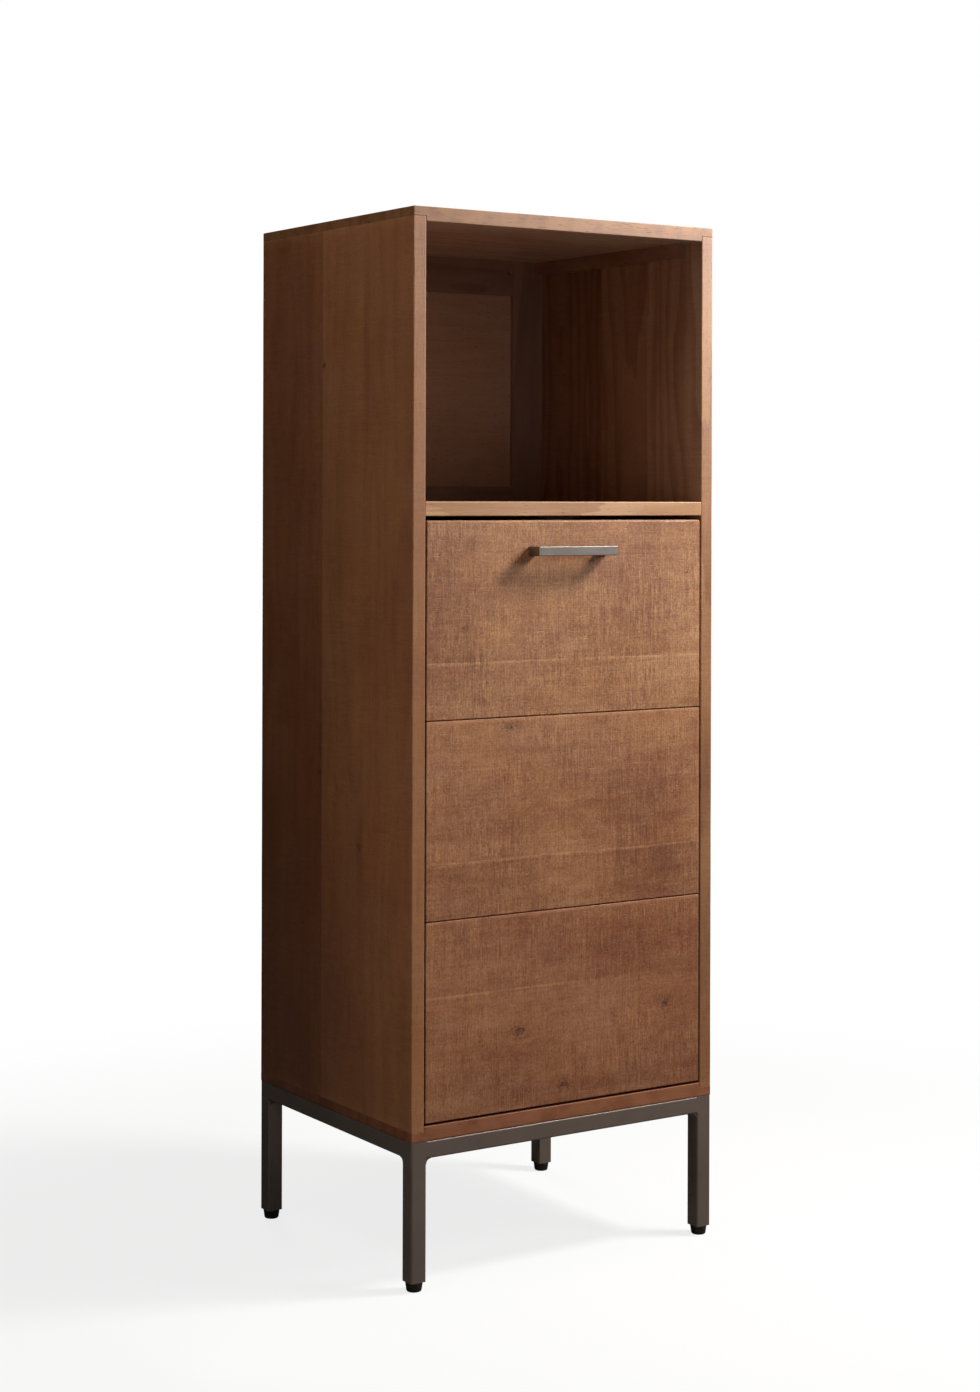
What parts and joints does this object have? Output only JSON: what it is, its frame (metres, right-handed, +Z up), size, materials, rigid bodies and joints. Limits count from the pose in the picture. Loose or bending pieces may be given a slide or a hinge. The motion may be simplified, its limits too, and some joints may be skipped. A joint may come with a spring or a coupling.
{
  "type": "bathroom cabinet",
  "caption": "Tall wooden bathroom cabinet with an open cubby above a tilt-out laundry hamper door, on a welded square-tube steel stand with levelling feet.",
  "frame": {"origin": "on the floor under the middle of the whole cabinet's box, handle included", "axes": "+Z up, -Y towards the front with the door and its handle, +X to the right as seen from the front"},
  "size_m": [0.465, 0.416, 1.335],
  "materials": {
    "side_wood": "dark brown oiled wood with vertical grain, satin",
    "top_wood": "light brown waxed wood, satin",
    "door_wood": "brown waxed planks with fine saw marks, satin",
    "inner_wood": "dark brown wood, satin",
    "stand_steel": "dark bronze powder coat, satin",
    "pull_metal": "brushed pewter",
    "bright_steel": "zinc plated",
    "bush_brass": "plain turned brass",
    "foot_plastic": "black, matt",
    "brown_plastic": "dark brown, matt",
    "bag_linen": "natural linen canvas"
  },
  "bodies": {
    "case": {"left_side": "side_wood", "right_side": "side_wood", "top_panel": "top_wood", "bottom_panel": "top_wood", "middle_shelf": "top_wood", "left_top_cleat": "inner_wood", "right_top_cleat": "inner_wood", "back_left_stile": "inner_wood", "back_right_stile": "inner_wood", "back_top_rail": "inner_wood", "back_middle_rail": "inner_wood", "back_bottom_rail": "inner_wood", "upper_back_panel": "inner_wood", "lower_back_panel": "inner_wood", "base_front_rail": "stand_steel", "base_back_rail": "stand_steel", "base_left_rail": "stand_steel", "base_right_rail": "stand_steel", "front_left_leg": "stand_steel", "front_right_leg": "stand_steel", "back_left_leg": "stand_steel", "back_right_leg": "stand_steel", "base_corner_plates": "stand_steel", "base_screws": "bright_steel", "leg_inserts": "foot_plastic", "pivot_pins": "bright_steel", "case_bushes": "bush_brass", "left_keeper": "brown_plastic", "right_keeper": "brown_plastic", "keeper_screws": "bright_steel", "catch_housing": "brown_plastic", "catch_magnet": "bright_steel", "catch_screws": "bright_steel", "cleat_screws": "bright_steel", "back_screws": "bright_steel"},
    "door": {"door_bottom_plank": "door_wood", "door_middle_plank": "door_wood", "door_top_plank": "door_wood", "door_left_batten": "inner_wood", "door_right_batten": "inner_wood", "batten_screws": "bright_steel", "handle": "pull_metal", "handle_screws": "bright_steel", "door_bushes": "bush_brass", "left_stay": "bright_steel", "right_stay": "bright_steel", "stay_studs": "bright_steel", "strike_plate": "bright_steel", "door_hardware_screws": "bright_steel", "bag_hoop": "stand_steel", "laundry_bag": "bag_linen"},
    "front_left_foot": {"front_left_foot_pad": "foot_plastic", "front_left_foot_stem": "bright_steel"},
    "front_right_foot": {"front_right_foot_pad": "foot_plastic", "front_right_foot_stem": "bright_steel"},
    "back_left_foot": {"back_left_foot_pad": "foot_plastic", "back_left_foot_stem": "bright_steel"},
    "back_right_foot": {"back_right_foot_pad": "foot_plastic", "back_right_foot_stem": "bright_steel"}
  },
  "joints": [
    {"name": "door_tilt", "type": "hinge", "parent": "case", "child": "door", "pos_m": [0, -0.175, 0.226], "axis": [1, 0, 0], "range_deg": [0, 35]},
    {"name": "front_left_foot_screw", "type": "slide", "parent": "case", "child": "front_left_foot", "axis": [0, 0, -1], "range_m": [0, 0.008]},
    {"name": "front_right_foot_screw", "type": "slide", "parent": "case", "child": "front_right_foot", "axis": [0, 0, -1], "range_m": [0, 0.008]},
    {"name": "back_left_foot_screw", "type": "slide", "parent": "case", "child": "back_left_foot", "axis": [0, 0, -1], "range_m": [0, 0.008]},
    {"name": "back_right_foot_screw", "type": "slide", "parent": "case", "child": "back_right_foot", "axis": [0, 0, -1], "range_m": [0, 0.008]}
  ]
}
